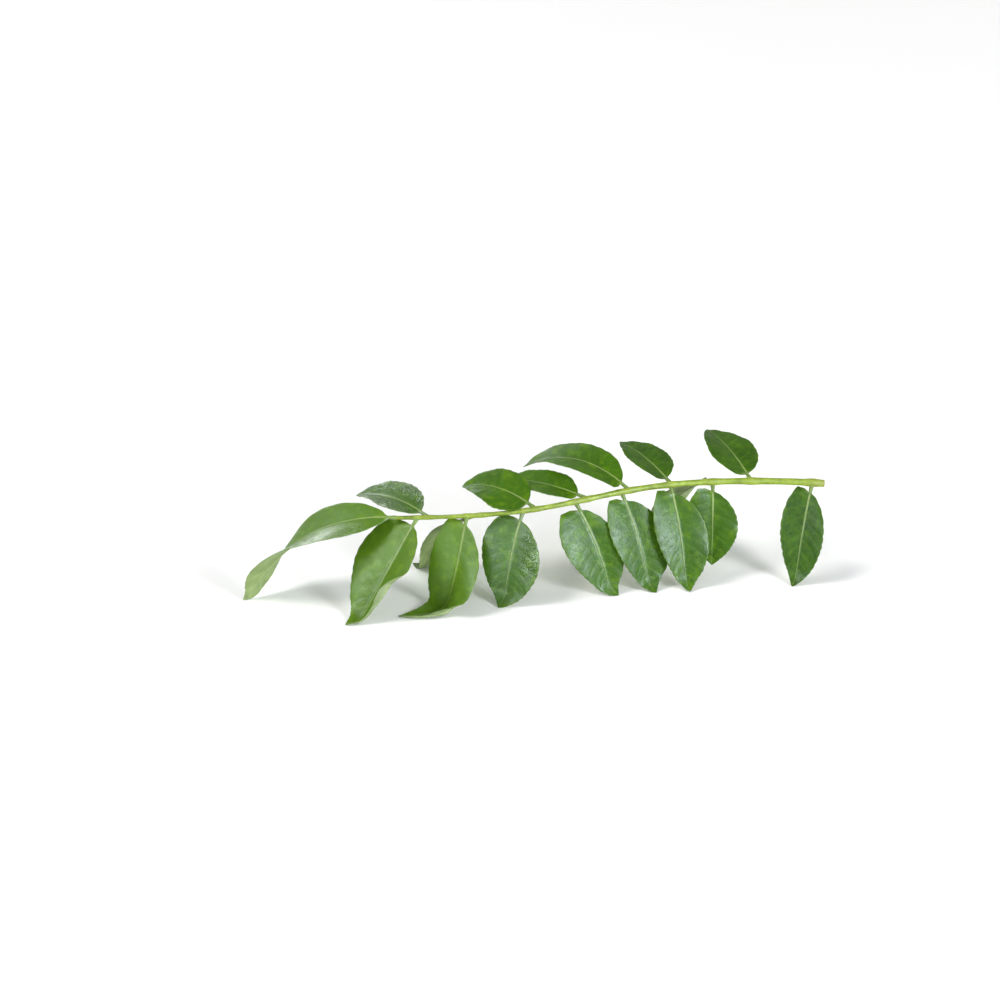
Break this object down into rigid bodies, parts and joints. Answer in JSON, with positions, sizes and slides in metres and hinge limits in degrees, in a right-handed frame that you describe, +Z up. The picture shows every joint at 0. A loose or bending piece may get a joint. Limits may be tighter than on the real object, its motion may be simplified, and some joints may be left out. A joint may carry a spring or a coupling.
{
  "type": "curry leaf sprig",
  "caption": "Cut curry leaf sprig lying down: an arching stalk with drooping leaflets on both sides and one at its tip.",
  "frame": {"origin": "on the table, under the middle of the sprig's bounding box", "axes": "+Z up, +X along the stalk towards its cut end, -Y towards the side where the left leaflets hang down"},
  "size_m": [0.1668, 0.064, 0.035],
  "materials": {
    "leaflet_blade": "waxy gloss",
    "rachis_stem": "satin"
  },
  "bodies": {
    "root": {"rachis": "rachis_stem", "leaflet_left_1": "leaflet_blade", "leaflet_left_2": "leaflet_blade", "leaflet_left_3": "leaflet_blade", "leaflet_left_4": "leaflet_blade", "leaflet_left_5": "leaflet_blade", "leaflet_left_6": "leaflet_blade", "leaflet_left_7": "leaflet_blade", "leaflet_left_8": "leaflet_blade", "leaflet_right_1": "leaflet_blade", "leaflet_right_2": "leaflet_blade", "leaflet_right_3": "leaflet_blade", "leaflet_right_4": "leaflet_blade", "leaflet_right_5": "leaflet_blade", "leaflet_right_6": "leaflet_blade", "leaflet_right_7": "leaflet_blade", "leaflet_right_8": "leaflet_blade", "leaflet_terminal": "leaflet_blade"}
  },
  "joints": []
}
